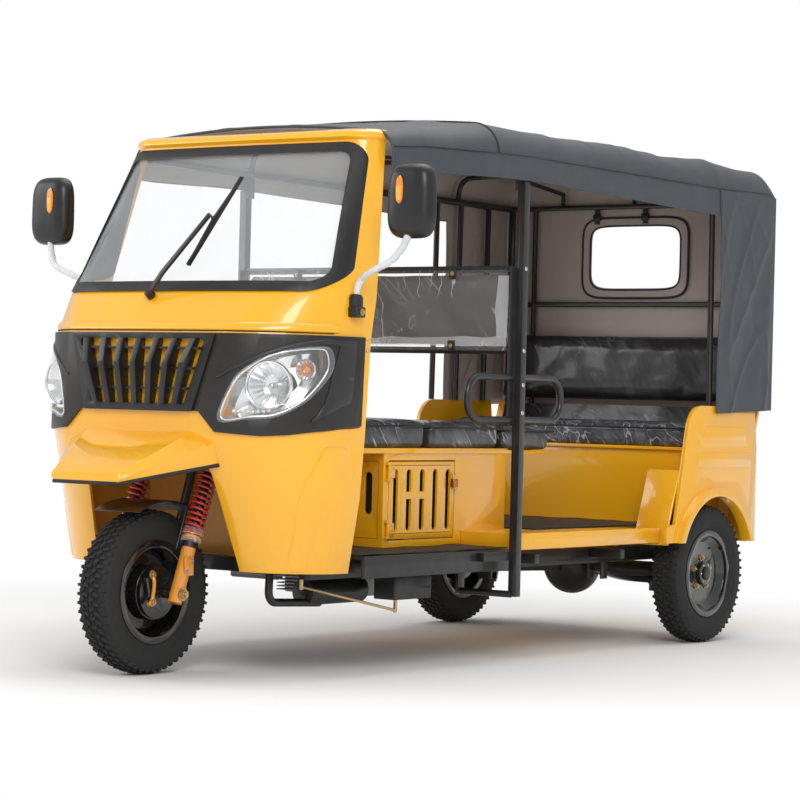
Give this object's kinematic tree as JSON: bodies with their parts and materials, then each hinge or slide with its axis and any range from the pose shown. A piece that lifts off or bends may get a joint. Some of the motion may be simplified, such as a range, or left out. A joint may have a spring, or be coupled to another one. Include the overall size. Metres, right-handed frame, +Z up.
{
  "type": "auto rickshaw",
  "caption": "Three-wheeled auto rickshaw with an open cab, a moulded nose, leading-link style telescopic front fork, bench seats and a slate fabric canopy",
  "frame": {"origin": "on the ground, under the middle of the overall length, on the centre line", "axes": "+X to the vehicle's left, +Y to the rear, +Z up; the front faces -Y"},
  "size_m": [1.784, 3.42, 1.9537],
  "materials": {
    "body_paint": "gloss amber yellow paint",
    "canopy_cloth": "coated slate blue-grey cloth",
    "black_moulding": "satin black moulding",
    "black_frame": "semi-gloss black paint",
    "orange_paint": "gloss orange paint",
    "spring_red": "gloss red coating",
    "tyre_rubber": "matt black rubber",
    "seal_rubber": "black rubber",
    "wheel_black": "black painted steel",
    "clear_glass": "clear laminated glass",
    "lamp_lens": "clear lens over a bright reflector",
    "lamp_red": "red lens",
    "seat_cover": "black vinyl under clear film",
    "cast_metal": "rough cast alloy",
    "bare_steel": "zinc plated steel"
  },
  "bodies": {
    "chassis": {"cab_shell": "body_paint", "beak": "body_paint", "bay_floor": "body_paint", "quarter_panel_left": "body_paint", "quarter_panel_right": "body_paint", "wheel_housings": "body_paint", "tail_panel": "body_paint", "seat_box": "body_paint", "bench_box": "body_paint", "wheel_well": "body_paint", "canopy_roof": "canopy_cloth", "canopy_side_left": "canopy_cloth", "canopy_side_right": "canopy_cloth", "canopy_rear": "canopy_cloth", "cab_mask": "black_moulding", "grille": "black_moulding", "dashboard": "black_moulding", "mirror_left": "black_moulding", "mirror_right": "black_moulding", "driver_backrest": "black_moulding", "chassis_rails": "black_frame", "cross_members": "black_frame", "rear_cross_member": "black_frame", "steering_neck": "black_frame", "cab_floor": "black_frame", "side_pole_left": "black_frame", "side_pole_right": "black_frame", "roof_frame": "black_frame", "backrest_bars": "black_frame", "rear_axle": "black_frame", "exhaust": "black_frame", "battery_box": "black_frame", "windshield_gasket": "seal_rubber", "wiper": "seal_rubber", "windshield": "clear_glass", "headlamps": "lamp_lens", "tail_lamps": "lamp_red", "driver_cushion": "seat_cover", "middle_cushion": "seat_cover", "jump_cushion": "seat_cover", "bench_backrest": "seat_cover", "engine": "cast_metal", "brake_linkage": "bare_steel"},
    "steering": {"fork_crown": "black_frame", "fork_sliders": "orange_paint", "fork_springs": "spring_red", "inner_fender": "black_frame", "brake_plate": "cast_metal", "handlebar": "black_frame"},
    "front_wheel": {"front_tyre": "tyre_rubber", "front_rim": "wheel_black"},
    "rear_wheel_left": {"rear_tyre_left": "tyre_rubber", "rear_rim_left": "wheel_black"},
    "rear_wheel_right": {"rear_tyre_right": "tyre_rubber", "rear_rim_right": "wheel_black"},
    "louvred_door": {"box_door": "body_paint"},
    "seat_lid": {"bench_lid": "black_frame", "bench_cushion": "seat_cover"}
  },
  "joints": [
    {"name": "steering", "type": "hinge", "parent": "chassis", "child": "steering", "pos_m": [0, -1.3637, 0.2596], "axis": [0, 0.342, 0.9397], "range_deg": [-40, 40]},
    {"name": "front_wheel_spin", "type": "hinge", "parent": "steering", "child": "front_wheel", "pos_m": [0, -1.406, 0.275], "axis": [1, 0, 0], "continuous": true},
    {"name": "rear_wheel_left_spin", "type": "hinge", "parent": "chassis", "child": "rear_wheel_left", "pos_m": [0.592, 1.258, 0.275], "axis": [1, 0, 0], "continuous": true},
    {"name": "rear_wheel_right_spin", "type": "hinge", "parent": "chassis", "child": "rear_wheel_right", "pos_m": [-0.592, 1.258, 0.275], "axis": [1, 0, 0], "continuous": true},
    {"name": "louvred_door", "type": "hinge", "parent": "chassis", "child": "louvred_door", "pos_m": [0.3635, -0.534, 0.58], "axis": [0, 0, -1], "range_deg": [0, 100]},
    {"name": "bench_lid", "type": "hinge", "parent": "chassis", "child": "seat_lid", "pos_m": [0, 1.532, 0.771], "axis": [-1, 0, 0], "range_deg": [0, 60]}
  ]
}
